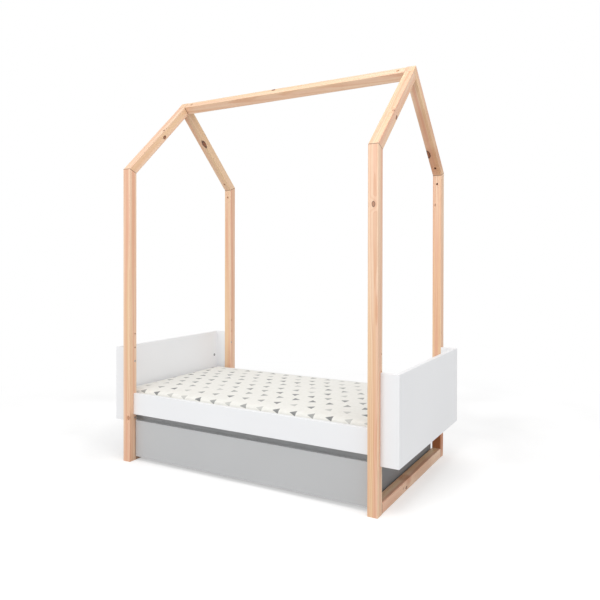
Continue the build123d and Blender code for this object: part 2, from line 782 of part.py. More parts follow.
# Wheels: solid rollers, each with a bore for its axle
with BuildPart() as wheel:
    Cylinder(wheel_radius, wheel_width, rotation=(0, 90, 0))
    Cylinder(axle_radius + running_gap, wheel_width, rotation=(0, 90, 0), mode=Mode.SUBTRACT)


def make_wheel(x, y):
    with BuildPart() as placed:
        with Locations((x, y, wheel_radius)):
            add(wheel.part)
    return placed


for side_name, sx in sides.items():
    save(make_wheel(sx * castor_x, castor_front_y), f"wheel_front_{side_name}")
    save(make_wheel(sx * castor_x, castor_back_y), f"wheel_rear_{side_name}")

def make_cam(sides):
    """Cam: a drum with a slot across it, open at the side where the bolt's head enters."""
    with BuildPart() as drum:
        add_pin(Plane.XY, cam_radius, -cam_depth, sides)
        Box(1.2 * cam_radius, cam_slot, 2 * cam_slot, mode=Mode.SUBTRACT)
        pin_bore(facing(cam_radius, 0, -cam_axis_depth, (1, 0, 0)), cam_bolt_radius, cam_radius)
    return drum


def make_cam_bolt(reach):
    """Connecting bolt, from the middle of its cam to its thread in the neighbour."""
    with BuildPart() as bolt:
        add_pin(Plane.YZ.offset(cam_bolt_start), cam_bolt_radius, reach - cam_bolt_start)
        add_pin(Plane.YZ.offset(reach), cam_bolt_thread_radius, cam_bolt_thread - thread_end_gap)
    return bolt


def cam_frame(cam):
    """A cam's own frame, sunk to the axis of its bolt."""
    return Plane(origin=cam.origin - cam.z_dir * cam_axis_depth, x_dir=cam.x_dir, z_dir=cam.z_dir)


# The ridge's cams show and have a brown coating, so they are a piece of their own
shown_cam = make_cam(shown_sides)
hidden_cam = make_cam(hidden_sides)
with BuildPart() as ridge_cam_drums:
    with Locations(*[cam.location for cam in ridge_cams]):
        add(shown_cam.part)
save(ridge_cam_drums, "ridge_cams")

with BuildPart() as cams:
    with Locations(*[cam.location for cam in shown_cams if cam not in ridge_cams]):
        add(shown_cam.part)
    with Locations(*[cam.location for cam in hidden_cams]):
        add(hidden_cam.part)
save(cams, "cams")

timber_bolt = make_cam_bolt(timber_cam_inset)
board_bolt = make_cam_bolt(board_cam_inset)
with BuildPart() as cam_bolts:
    with Locations(*[cam_frame(cam).location for cam in ridge_cams + foot_cams + rail_cams]):
        add(timber_bolt.part)
    with Locations(*[cam_frame(cam).location for cam in panel_cams]):
        add(board_bolt.part)
save(cam_bolts, "cam_bolts")

# Cross dowels and tie bolts of the eave joints and the ridge joints
eave_frames = [eave(sx, sy) for sx, sy in corners]
with BuildPart() as cross_nut:
    add_pin(Plane.YZ.offset(-cross_nut_length / 2), cross_nut_radius, cross_nut_length)
    pin_bore(Plane.XY.offset(cross_nut_radius), tie_bolt_radius, 2 * cross_nut_radius)

apex_nuts = [
    Plane(
        origin=Vector(sx * post_x, butt_y, butt_z) - Vector(0, slope, slope) * apex_nut_reach,
        x_dir=(0, slope, -slope),
        z_dir=(0, slope, slope),
    )
    for sx in sides.values()
]
eave_nuts = [
    Plane(origin=eave_point(mitre, eave_bolt_inset, up), x_dir=mitre.x_dir, z_dir=mitre.z_dir)
    for mitre in eave_frames
    for up in (-eave_nut_reach, eave_nut_reach)
]
with BuildPart() as cross_nuts:
    with Locations(*[nut.location for nut in eave_nuts + apex_nuts]):
        add(cross_nut.part)
save(cross_nuts, "cross_nuts")

eave_bolt_half = eave_nut_reach + cross_nut_radius
apex_bolt_length = post_size - panel_bolt_head_depth + apex_nut_reach + cross_nut_radius
bolt_head_height = panel_bolt_head_depth - bolt_head_drop
with BuildPart() as tie_bolts:
    for mitre in eave_frames:
        middle = Plane(origin=eave_point(mitre, eave_bolt_inset, 0), z_dir=mitre.z_dir)
        add_pin(middle.offset(-eave_bolt_half), tie_bolt_radius, 2 * eave_bolt_half)
    for sx in sides.values():
        seat = apex_head_mouth(sx).offset(-panel_bolt_head_depth)
        add_pin(seat, tie_bolt_radius, -apex_bolt_length)
        add_pin(seat, panel_bolt_head_radius, bolt_head_height)
save(tie_bolts, "tie_bolts")

# Bolts and threaded inserts between the posts and the end panels
panel_bolt_mouths = [
    facing(sx * post_inner_x, sy * board_y, z, (-sx, 0, 0))
    for sx, sy in corners
    for z in (low_panel_bolt_z, high_panel_bolt_z)
]
bolt_length = post_size - panel_bolt_head_depth + insert_length
with BuildPart() as panel_bolts:
    for mouth in panel_bolt_mouths:
        add_pin(mouth.offset(-panel_bolt_head_depth), panel_bolt_radius, -bolt_length)
        add_pin(mouth.offset(-panel_bolt_head_depth), panel_bolt_head_radius, bolt_head_height)
save(panel_bolts, "panel_bolts")

with BuildPart() as panel_inserts:
    for mouth in panel_bolt_mouths:
        add_pin(mouth.offset(-post_size), insert_radius, -insert_length)
        pin_bore(mouth.offset(-post_size), panel_bolt_radius, insert_length)
save(panel_inserts, "panel_inserts")


# Wooden dowels
def add_dowels(centres, forward):
    """Dowels along the axes of the given planes, running forward by the given length."""
    for centre in centres:
        add_pin(centre.offset(forward), dowel_radius, -dowel_length)


with BuildPart() as frame_dowels:
    add_dowels(eave_dowels + apex_dowels + foot_dowels + rail_dowels + return_dowels, dowel_half)
    add_dowels(ridge_dowels + panel_dowels, short_dowel_side)
save(frame_dowels, "frame_dowels")


# Screws with a flat head
def place_screws(seats, length):
    """Screws of one length, each with its head standing on one of the seats."""
    with BuildPart() as placed:
        for seat in seats:
            add_pin(seat, screw_radius, -length)
            add_pin(seat, screw_head_radius, screw_head_height)
    return placed


save(place_screws(rail_screws + return_screws, bar_screw_length), "bar_screws")
save(place_screws(front_screws, front_screw_length), "drawer_front_screws")
save(place_screws(castor_screws, castor_screw_length), "castor_screws")
sunk_seats = [screw.offset(-screw_head_height) for screw in box_screws]
save(place_screws(sunk_seats, box_screw_length - screw_head_height), "drawer_box_screws")
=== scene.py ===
import math

import bmesh
import bpy
from mathutils import Matrix, Vector


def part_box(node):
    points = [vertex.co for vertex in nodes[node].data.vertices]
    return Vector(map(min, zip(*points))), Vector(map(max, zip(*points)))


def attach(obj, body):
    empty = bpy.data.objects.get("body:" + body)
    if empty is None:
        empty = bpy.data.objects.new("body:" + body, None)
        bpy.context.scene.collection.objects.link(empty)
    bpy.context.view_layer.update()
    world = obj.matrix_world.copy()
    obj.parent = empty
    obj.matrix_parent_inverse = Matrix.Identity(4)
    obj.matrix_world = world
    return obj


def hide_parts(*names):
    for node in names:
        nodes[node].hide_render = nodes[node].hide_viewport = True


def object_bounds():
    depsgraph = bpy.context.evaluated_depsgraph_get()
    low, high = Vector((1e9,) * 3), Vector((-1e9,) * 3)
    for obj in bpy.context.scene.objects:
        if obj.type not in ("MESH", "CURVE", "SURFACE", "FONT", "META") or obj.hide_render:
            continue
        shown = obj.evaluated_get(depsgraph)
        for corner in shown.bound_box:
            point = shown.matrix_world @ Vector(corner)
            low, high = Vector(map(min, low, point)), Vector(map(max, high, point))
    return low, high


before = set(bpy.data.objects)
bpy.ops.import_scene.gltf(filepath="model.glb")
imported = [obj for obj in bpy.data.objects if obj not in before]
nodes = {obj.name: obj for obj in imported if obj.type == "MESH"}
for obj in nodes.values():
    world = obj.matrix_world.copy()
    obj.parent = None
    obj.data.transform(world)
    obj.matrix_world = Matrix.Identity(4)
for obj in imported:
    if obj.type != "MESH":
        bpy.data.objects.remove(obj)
cad_low, cad_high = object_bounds()

# Camera, fitted to the photograph (600 x 600 pixels)
image_size = 600
focal_px = 581.31
axis_px = (327.24, 265.39)  # where the camera's axis meets the picture
camera_place = Vector((1.4817, -2.3355, 0.9317))
camera_yaw = math.radians(28.334)
camera_pitch = math.radians(-0.349)
camera_roll = math.radians(0.108)
sensor_width = 36.0

# Sizes of the timbers, in metres
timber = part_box("foot_rail_left")[1].z
half_timber = timber / 2
post_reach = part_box("post_rear_left")[1].y
eave_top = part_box("post_rear_left")[1].z

# Pine, in metres
ring_width = 0.0034
ring_lean = 0.016  # sideways per metre along the timber
ring_waver = 0.012
joint_reach = 0.0022  # how far the shade at a joint runs from the sawn end

# Mattress and sheet, in metres
mattress_low, mattress_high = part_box("mattress")
slat_gap = 0.0002  # under the mattress
side_clearance = 0.004  # the form inside its box, before the cover swells
top_clearance = 0.002
plan_corner = 0.040
edge_round = 0.019
crown_rise = 0.009
draw_in = 0.004  # how far each side curves in between its corners
sheet_thickness = 0.0008
sheet_turn_under = 0.05
cloth_voxel = 0.006
cloth_cap = 0.004  # how far a point of the cover may move
cloth_frames = 20
thread_step = 0.0007
quilt_step = 0.05
tape_weave = (0.0016, 0.0012)
triangle_side = 0.037
triangle_step = (0.083, 0.074)
triangle_turn = (math.radians(-40), math.radians(-14))
triangle_softness = 0.006  # rounding of the corners

# Light and floor
world_strength = 0.91
floor_grey = (200, 200, 200)
floor_pale = (238, 238, 238)
floor_lift = 0.42
floor_fade = (1.3, 2.6)  # metres from the middle of the bed
floor_reach = 30.0
floor_drop = 0.0005
lamps = (  # name, place, target, width, height, power
    ("key", (-1.2, -4.8, 2.6), (0, 0, 0.7), 3.4, 2.6, 77),
    ("fill", (4.8, -1.0, 3.0), (-0.4, 0, 0.7), 2.6, 2.6, 35),
    ("top", (0.9, -1.1, 3.0), (-0.6, 0.2, 0.4), 1.2, 1.2, 19),
)


def srgb(red, green, blue):
    """A colour written as it shows on screen, 0 to 255, as linear values."""
    def linear(value):
        value /= 255
        return value / 12.92 if value <= 0.04045 else ((value + 0.055) / 1.055) ** 2.4
    return (linear(red), linear(green), linear(blue), 1.0)


class Graph:
    """Builds the nodes of one material or world. Most methods return the socket that they make."""

    def __init__(self, name, world=False):
        self.owner = bpy.data.worlds.new(name) if world else bpy.data.materials.new(name)
        self.owner.use_nodes = True
        self.tree = self.owner.node_tree
        self.tree.nodes.clear()

    def node(self, kind, inputs=None, **settings):
        made = self.tree.nodes.new(kind)
        for key, value in settings.items():
            setattr(made, key, value)
        for key, value in (inputs or {}).items():
            self.plug(value, made.inputs[key])
        return made

    def plug(self, value, socket):
        if isinstance(value, bpy.types.NodeSocket):
            self.tree.links.new(value, socket)
        else:
            socket.default_value = value

    def place(self):
        """Position on the object at rest, in metres."""
        return self.node("ShaderNodeTexCoord").outputs["Object"]

    def math(self, operation, *values, clamp=False):
        inputs = dict(enumerate(values))
        return self.node("ShaderNodeMath", inputs, operation=operation, use_clamp=clamp).outputs[0]

    def vector(self, operation, *values):
        made = self.node("ShaderNodeVectorMath", dict(enumerate(values)), operation=operation)
        return made.outputs["Value"] if operation in ("LENGTH", "DOT_PRODUCT") else made.outputs["Vector"]

    def scaled(self, place, x, y, z):
        return self.vector("MULTIPLY", place, (x, y, z))

    def split(self, value):
        return self.node("ShaderNodeSeparateXYZ", {0: value}).outputs[:]

    def join(self, x, y, z):
        return self.node("ShaderNodeCombineXYZ", {0: x, 1: y, 2: z}).outputs[0]

    def noise(self, place, scale, detail=3.0, roughness=0.5):
        inputs = {"Vector": place, "Scale": scale, "Detail": detail, "Roughness": roughness}
        return self.node("ShaderNodeTexNoise", inputs).outputs["Fac"]

    def spread(self, value, low, high, to_low=0.0, to_high=1.0, smooth=False):
        inputs = {"Value": value, "From Min": low, "From Max": high, "To Min": to_low, "To Max": to_high}
        kind = "SMOOTHSTEP" if smooth else "LINEAR"
        return self.node("ShaderNodeMapRange", inputs, interpolation_type=kind).outputs[0]

    def mix(self, factor, first, second):
        inputs = {0: factor, 6: first, 7: second}
        return self.node("ShaderNodeMix", inputs, data_type="RGBA").outputs[2]

    def bump(self, height, distance, strength=1.0):
        inputs = {"Height": height, "Distance": distance, "Strength": strength}
        return self.node("ShaderNodeBump", inputs).outputs[0]

    def seen(self):
        """1 where the camera sees this directly, mirrored or through glass, and 0 where it lights."""
        path = self.node("ShaderNodeLightPath").outputs
        seen = self.math("ADD", path["Is Camera Ray"], path["Is Glossy Ray"])
        return self.math("ADD", seen, path["Is Transmission Ray"], clamp=True)

    def finish(self, **inputs):
        """Ends the material in a Principled shader with the given inputs."""
        named = {key.replace("_", " ").title(): value for key, value in inputs.items()}
        shader = self.node("ShaderNodeBsdfPrincipled", named)
        self.node("ShaderNodeOutputMaterial", {"Surface": shader.outputs[0]})
        return self.owner


def paint(node_name, material):
    """Gives a CAD node its material."""
    for slot in nodes[node_name].material_slots:
        slot.material = material


# Pine: growth rings about a pith outside the timber, pink and yellow streaks, fibres and knots
pine_light = srgb(240, 209, 180)
pine_pink = srgb(229, 177, 148)
pine_yellow = srgb(236, 203, 160)
pine_late = srgb(210, 152, 112)
# Brown of stains, also painted as shade low on timbers that lie in shadow
pine_stain_and_painted_shade = srgb(186, 118, 74)
joint_shade = srgb(98, 66, 46)
knot_heart = srgb(150, 92, 58)
knot_rim = srgb(84, 52, 36)


def grain_turn(grain, across):
    """Turn from the row's frame to a timber's own: X along its grain, the other two across it."""
    return Matrix((grain, across, grain.cross(across)))


def grain_place(graph, origin, grain, across):
    """Position in a timber's own frame."""
    turn = grain_turn(grain, across)
    inputs = {
        "Vector": graph.place(),
        "Location": -(turn @ origin),
        "Rotation": turn.to_euler(),
    }
    return graph.node("ShaderNodeMapping", inputs, vector_type="POINT").outputs[0]


def pine(name, origin, grain, across, pith, seed, blush=1.0, knots=(), stains_and_painted_shade=(), joints=()):
    """One pine timber's material. Knots, and stains and painted shade, are (point, radius, depth of colour),
    joints are (point, normal) of a sawn end that meets its neighbour, all in the row's frame."""
    graph = Graph(name)
    place = grain_place(graph, origin, grain, across)
    shifted = graph.vector("ADD", place, (seed * 3.7, seed * 1.3, seed * 2.1))
    # The rings lean along the timber and waver a little
    along, side, depth = graph.split(place)
    waver = graph.noise(graph.scaled(shifted, 1.4, 14.0, 14.0), 1.0, 3.0)
    lean = graph.math("MULTIPLY", along, ring_lean)
    side = graph.math("ADD", graph.math("SUBTRACT", side, pith[0]), lean)
    depth = graph.math("SUBTRACT", depth, pith[1])
    ring = graph.vector("LENGTH", graph.join(0.0, side, depth))
    ring = graph.math("ADD", ring, graph.math("MULTIPLY", waver, ring_waver))
    # Fibres bend round each knot
    heart = 0.0
    rim = 0.0
    for point, radius, strength in knots:
        centre = grain_turn(grain, across) @ (Vector(point) - origin)
        away = graph.scaled(graph.vector("SUBTRACT", place, centre), 0.62 / radius, 1 / radius, 1 / radius)
        ragged = graph.math("MULTIPLY", graph.noise(place, 120.0, 2.0), 0.5)
        reach = graph.math("ADD", graph.vector("LENGTH", away), ragged)
        bend = graph.spread(reach, 3.6, 0.8, 0.0, radius * 0.7, smooth=True)
        ring = graph.math("ADD", ring, bend)
        inside = graph.spread(reach, 1.35, 1.05, 0.0, strength, smooth=True)
        edge = graph.spread(graph.math("ABSOLUTE", graph.math("SUBTRACT", reach, 1.12)), 0.30, 0.0,
                            0.0, strength, smooth=True)
        heart = graph.math("MAXIMUM", heart, inside)
        rim = graph.math("MAXIMUM", rim, edge)
    # Early wood is pale and wide, late wood a narrow darker line
    phase = graph.math("FRACT", graph.math("DIVIDE", ring, ring_width))
    late = graph.math("MULTIPLY", graph.spread(phase, 0.35, 0.86, smooth=True),
                      graph.spread(phase, 1.0, 0.93, smooth=True))
    patch = graph.spread(graph.noise(graph.scaled(shifted, 2.0, 24.0, 24.0), 1.0, 2.0), 0.35, 0.65)
    late = graph.math("MULTIPLY", late, graph.spread(patch, 0.0, 1.0, 0.22, 0.62))
    streak = graph.noise(graph.scaled(shifted, 1.1, 52.0, 52.0), 1.0, 2.0)
    hue = graph.noise(graph.scaled(shifted, 0.7, 30.0, 30.0), 1.0, 2.0)
    fibre = graph.noise(graph.scaled(shifted, 30.0, 1300.0, 1300.0), 1.0, 2.0)
    colour = graph.mix(graph.spread(streak, 0.42, 0.60, 0.0, blush), pine_light, pine_pink)
    colour = graph.mix(graph.spread(hue, 0.50, 0.68, 0.0, 0.8), colour, pine_yellow)
    colour = graph.mix(late, colour, pine_late)
    colour = graph.mix(graph.spread(fibre, 0.45, 0.75, 0.0, 0.16), colour, pine_late)
    # Stains, and painted shade where a timber lies in shadow: each patch darkens the colour towards brown
    for point, radius, strength in stains_and_painted_shade:
        away = graph.vector("SUBTRACT", graph.place(), point)
        reach = graph.math("ADD", graph.math("DIVIDE", graph.vector("LENGTH", away), radius),
                           graph.math("MULTIPLY", streak, 0.6))
        colour = graph.mix(graph.spread(reach, 1.35, 0.7, 0.0, strength, smooth=True), colour, pine_stain_and_painted_shade)
    if knots:
        colour = graph.mix(heart, colour, knot_heart)
        colour = graph.mix(rim, colour, knot_rim)
    for point, normal in joints:
        offset = graph.vector("DOT_PRODUCT", graph.vector("SUBTRACT", graph.place(), point), normal)
        line = graph.spread(graph.math("ABSOLUTE", offset), joint_reach, joint_reach / 3, 0.0, 0.75)
        colour = graph.mix(line, colour, joint_shade)
    height = graph.math("SUBTRACT", graph.math("MULTIPLY", fibre, 0.5), graph.math("MULTIPLY", late, 0.8))
    roughness = graph.spread(fibre, 0.3, 0.8, 0.42, 0.52)
    return graph.finish(base_color=colour, roughness=roughness, normal=graph.bump(height, 0.0002, 0.6))


# How pink the streaks are on the timbers that are paler than the rest
blushes = {"rafter_front_right": 0.8, "ridge_beam": 0.4, "rafter_front_left": 0.7, "rafter_rear_left": 0.8}

# Knots seen in the photograph, each at its real place on the timber: point, radius, depth of colour
knots = {
    "post_front_right": [((0.627, -0.3975, 1.142), 0.007, 0.75)],
    "post_front_left": [((-0.612, -0.3975, 0.204), 0.006, 0.35)],
    "post_rear_right": [((0.616, 0.3555, 1.204), 0.004, 0.5)],
    "rafter_front_left": [((-0.607, -0.176, 1.5835), 0.0045, 0.75), ((-0.604, -0.1725, 1.549), 0.0075, 0.95)],
    "rafter_front_right": [((0.642, -0.2445, 1.516), 0.005, 0.5), ((0.646, -0.2215, 1.492), 0.0065, 1.0)],
    "rafter_rear_left": [((-0.606, 0.126, 1.563), 0.017, 1.0), ((-0.604, 0.1365, 1.624), 0.005, 1.0)],
    "rafter_rear_right": [((0.607, 0.268, 1.431), 0.013, 1.0)],
    "ridge_beam": [((-0.069, -0.006, 1.7535), 0.0065, 1.0)],
    "foot_rail_right": [((0.646, -0.1345, 0.020), 0.004, 0.3), ((0.646, -0.1025, 0.013), 0.006, 1.0)],
}
# Darker, browner areas seen in the photograph, written the same way: stains on the wood, and painted shade
# where a timber lies in shadow
stains_and_painted_shade = {
    # Painted shade on the top of the right foot rail, under the right end board
    "foot_rail_right": [((0.627, -0.075, 0.042), 0.045, 0.55), ((0.625, 0.10, 0.042), 0.15, 0.25)],
    # Painted shade low on the front face of the rear right post, under the right end board
    "post_rear_right": [((0.625, 0.3555, 0.100), 0.110, 1.0)],
    # Darker, browner patches on the rear right rafter
    "rafter_rear_right": [((0.625, 0.300, 1.400), 0.110, 0.55), ((0.625, 0.170, 1.530), 0.140, 0.3)],
    # A stain round the knot on the front left post
    "post_front_left": [((-0.612, -0.3975, 0.204), 0.014, 0.5)],
}


def timber_frame(name):
    """Origin, grain and a direction across it for one of the timbers."""
    low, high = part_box(name)
    middle = (low + high) / 2
    size = high - low
    if name.startswith("rafter"):
        rise = 1 if "rear" in name else -1
        return middle, Vector((0, -rise, 1)).normalized(), Vector((1, 0, 0))
    longest = max(range(3), key=lambda axis: size[axis])
    grain = Vector((0, 0, 0))
    grain[longest] = 1
    return middle, grain, Vector((0, 1, 0)) if longest == 0 else Vector((1, 0, 0))


def timber_joints(name):
    """Sawn ends of a timber that show as a fine line: (point, normal)."""
    row = 1 if "rear" in name else -1
    tilt = math.radians(22.5)
    eave_outer = Vector((0, row * post_reach, eave_top))
    mitre = (eave_outer, (0, -row * math.sin(tilt), math.cos(tilt)))
    if name.startswith("post"):
        return [mitre]
    if name.startswith("rafter"):
        butt = ((0, 0, cad_high.z - half_timber * 2 * math.sqrt(2)), (0, math.sqrt(0.5), math.sqrt(0.5)))
        return [mitre] if row == 1 else [mitre, butt]
    if name == "ridge_beam":
        return [((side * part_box(name)[1].x, 0, 0), (1, 0, 0)) for side in (-1, 1)]
    return [((0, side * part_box(name)[1].y, 0), (0, 1, 0)) for side in (-1, 1)]


def paint_timbers():
    """Every pine timber has its own material, with its own rings, streaks and knots."""
    names = sorted(name for name in nodes if name.split("_")[0] in ("post", "rafter", "foot"))
    for number, name in enumerate(names + ["ridge_beam"]):
        origin, grain, across = timber_frame(name)
        pith = (0.050 - 0.011 * (number % 4), 0.034 + 0.009 * (number % 3))
        material = pine("pine_" + name, origin, grain, across, pith, number + 1, blushes.get(name, 1.0),
                        knots.get(name, ()), stains_and_painted_shade.get(name, ()), timber_joints(name))
        paint(name, material)


def softwood(name, grain, colour, late_colour):
    """Plain unlacquered softwood for the hidden slats, bearers and dowels."""
    graph = Graph(name)
    place = grain_place(graph, Vector((0, 0, 0)), Vector(grain), Vector((0, 0, 1)))
    streak = graph.noise(graph.scaled(place, 2.0, 160.0, 160.0), 1.0, 4.0, 0.6)
    fibre = graph.noise(graph.scaled(place, 40.0, 1400.0, 1400.0), 1.0, 2.0)
    shade = graph.noise(graph.scaled(place, 1.0, 11.0, 11.0), 1.0, 1.0)
    mixed = graph.mix(graph.spread(streak, 0.4, 0.7), srgb(*colour), srgb(*late_colour))
    mixed = graph.mix(graph.spread(shade, 0.4, 0.7, 0.0, 0.4), mixed, srgb(*late_colour))
    return graph.finish(base_color=mixed, roughness=graph.spread(fibre, 0.3, 0.7, 0.6, 0.75),
                        normal=graph.bump(fibre, 0.0002, 0.5))


def lacquer(name, colour, shade, roughness):
    """Sprayed lacquer on board: nearly even, with a faint orange peel and a slightly uneven sheen."""
    graph = Graph(name)
    place = graph.place()
    cloud = graph.noise(place, 2.5, 3.0)
    peel = graph.noise(place, 900.0, 2.0)
    speck = graph.noise(place, 260.0, 4.0, 0.7)
    mixed = graph.mix(graph.spread(cloud, 0.35, 0.65, 0.0, 0.5), srgb(*colour), srgb(*shade))
    sheen = graph.spread(speck, 0.3, 0.7, roughness - 0.04, roughness + 0.05)
    return graph.finish(base_color=mixed, roughness=sheen, normal=graph.bump(peel, 0.00006, 0.5))


def metal(name, colour, roughness):
    """Zinc-plated steel or cast zinc, a little cloudy and scratched."""
    graph = Graph(name)
    place = graph.place()
    cloud = graph.noise(place, 160.0, 4.0, 0.6)
    scratch = graph.noise(graph.scaled(place, 900.0, 90.0, 900.0), 1.0, 2.0)
    mixed = graph.mix(graph.spread(cloud, 0.3, 0.7), srgb(*colour), srgb(*[value * 0.82 for value in colour]))
    return graph.finish(base_color=mixed, metallic=1.0,
                        roughness=graph.spread(cloud, 0.3, 0.7, roughness - 0.06, roughness + 0.1),
                        normal=graph.bump(scratch, 0.00005, 0.4))


def plastic(name, colour):
    """Moulded plastic with a fine matt skin."""
    graph = Graph(name)
    place = graph.place()
    skin = graph.noise(place, 1800.0, 2.0)
    cloud = graph.noise(place, 60.0, 3.0)
    paler = srgb(*[value * 1.25 for value in colour])
    mixed = graph.mix(graph.spread(cloud, 0.3, 0.7, 0.0, 0.3), srgb(*colour), paler)
    return graph.finish(base_color=mixed, roughness=graph.spread(cloud, 0.3, 0.7, 0.42, 0.52),
                        normal=graph.bump(skin, 0.00008, 0.5))


def woven_tape():
    """Pale woven tape under the slats."""
    graph = Graph("slat_tape")
    place = graph.place()
    x, y, _ = graph.split(place)
    weft = graph.math("SINE", graph.math("MULTIPLY", x, 2 * math.pi / tape_weave[0]))
    warp = graph.math("SINE", graph.math("MULTIPLY", y, 2 * math.pi / tape_weave[1]))
    weave = graph.spread(graph.math("MULTIPLY", weft, warp), -1.0, 1.0)
    colour = graph.mix(weave, srgb(205, 203, 196), srgb(226, 225, 220))
    return graph.finish(base_color=colour, roughness=0.85, normal=graph.bump(weave, 0.0002))


def triangle_print(graph, flat):
    """Mask and grey of a plain triangle repeat: rows in brick bond, every third one upside down."""
    u, v, _ = graph.split(flat)
    row_place = graph.math("DIVIDE", v, triangle_step[1])
    row = graph.math("FLOOR", row_place)
    shift = graph.math("MULTIPLY", graph.math("MODULO", graph.math("ADD", row, 100.0), 2.0), 0.5)
    column_place = graph.math("ADD", graph.math("DIVIDE", u, triangle_step[0]), shift)
    column = graph.math("FLOOR", column_place)
    x = graph.math("MULTIPLY", graph.math("SUBTRACT", graph.math("SUBTRACT", column_place, column), 0.5),
                   triangle_step[0])
    y = graph.math("MULTIPLY", graph.math("SUBTRACT", graph.math("SUBTRACT", row_place, row), 0.5),
                   triangle_step[1])
    noise = graph.node("ShaderNodeTexWhiteNoise", {"Vector": graph.join(column, row, 0.0)},
                       noise_dimensions="2D")
    cell = noise.outputs["Value"]
    other_cell = graph.split(noise.outputs["Color"])[1]
    # Each triangle is turned a little its own way, and every third row stands on its points
    angle = graph.spread(other_cell, 0.0, 1.0, triangle_turn[0], triangle_turn[1])
    upside = graph.math("COMPARE", graph.math("MODULO", graph.math("ADD", row, 99.0), 3.0), 0.0, 0.5)
    angle = graph.math("ADD", angle, graph.math("MULTIPLY", upside, math.pi))
    cosine = graph.math("COSINE", angle)
    sine = graph.math("SINE", angle)
    turned_x = graph.math("ADD", graph.math("MULTIPLY", x, cosine), graph.math("MULTIPLY", y, sine))
    y = graph.math("SUBTRACT", graph.math("MULTIPLY", y, cosine), graph.math("MULTIPLY", x, sine))
    x = turned_x
    inner = triangle_side / (2 * math.sqrt(3))
    y = graph.math("ADD", y, 0.25 * inner)
    distance = graph.math("MULTIPLY", y, -1.0)
    for sign in (-1, 1):
        slanted = graph.math("ADD", graph.math("MULTIPLY", x, sign * math.cos(math.radians(30))),
                             graph.math("MULTIPLY", y, math.sin(math.radians(30))))
        distance = graph.math("SMOOTH_MAX", distance, slanted, triangle_softness)
    mask = graph.spread(distance, inner + 0.0004, inner - 0.0004)
    grey = graph.node("ShaderNodeValToRGB", {"Fac": cell})
    grey.color_ramp.interpolation = "CONSTANT"
    grey.color_ramp.elements[0].color = srgb(122, 124, 124)
    grey.color_ramp.elements[1].color = srgb(196, 196, 192)
    grey.color_ramp.elements[1].position = 0.72
    middle = grey.color_ramp.elements.new(0.36)
    middle.color = srgb(156, 157, 155)
    return mask, grey.outputs["Color"]


def sheet_cotton():
    """Off-white cotton, printed, with its weave and a soft nap."""
    graph = Graph("sheet_cotton")
    flat = graph.node("ShaderNodeUVMap", uv_map="flat").outputs["UV"]
    place = graph.place()
    u, v, _ = graph.split(flat)
    weft = graph.math("SINE", graph.math("MULTIPLY", u, 2 * math.pi / thread_step))
    warp = graph.math("SINE", graph.math("MULTIPLY", v, 2 * math.pi / thread_step))
    weave = graph.math("MULTIPLY", weft, warp)
    slub = graph.noise(place, 60.0, 3.0)
    mask, grey = triangle_print(graph, flat)
    ground = graph.mix(graph.spread(slub, 0.35, 0.65), srgb(237, 236, 231), srgb(232, 231, 225))
    worn = graph.math("MULTIPLY", mask, graph.spread(slub, 0.2, 0.8, 0.86, 1.0))
    colour = graph.mix(worn, ground, grey)
    height = graph.math("ADD", graph.math("MULTIPLY", weave, 0.5), graph.math("MULTIPLY", slub, 1.0))
    return graph.finish(base_color=colour, roughness=0.88, sheen_weight=0.15, sheen_roughness=0.5,
                        normal=graph.bump(height, 0.00025, 0.6))


def ticking():
    """Plain quilted white cover of the mattress, under the sheet."""
    graph = Graph("mattress_ticking")
    place = graph.place()
    x, y, _ = graph.split(place)
    waves = []
    for direction in ("ADD", "SUBTRACT"):
        slant = graph.math("MULTIPLY", graph.math(direction, x, y), math.pi / quilt_step)
        waves.append(graph.math("SINE", slant))
    diamond = graph.math("MULTIPLY", *waves)
    puff = graph.math("POWER", graph.math("ABSOLUTE", diamond), 0.35)
    knit = graph.noise(place, 700.0, 2.0)
    # Painted shade: the stitched hollows of the quilting are greyer than its puffed tops
    colour = graph.mix(graph.spread(puff, 0.0, 0.5), srgb(222, 222, 220), srgb(240, 240, 238))
    height = graph.math("ADD", puff, graph.math("MULTIPLY", knit, 0.1))
    return graph.finish(base_color=colour, roughness=0.9, normal=graph.bump(height, 0.002))


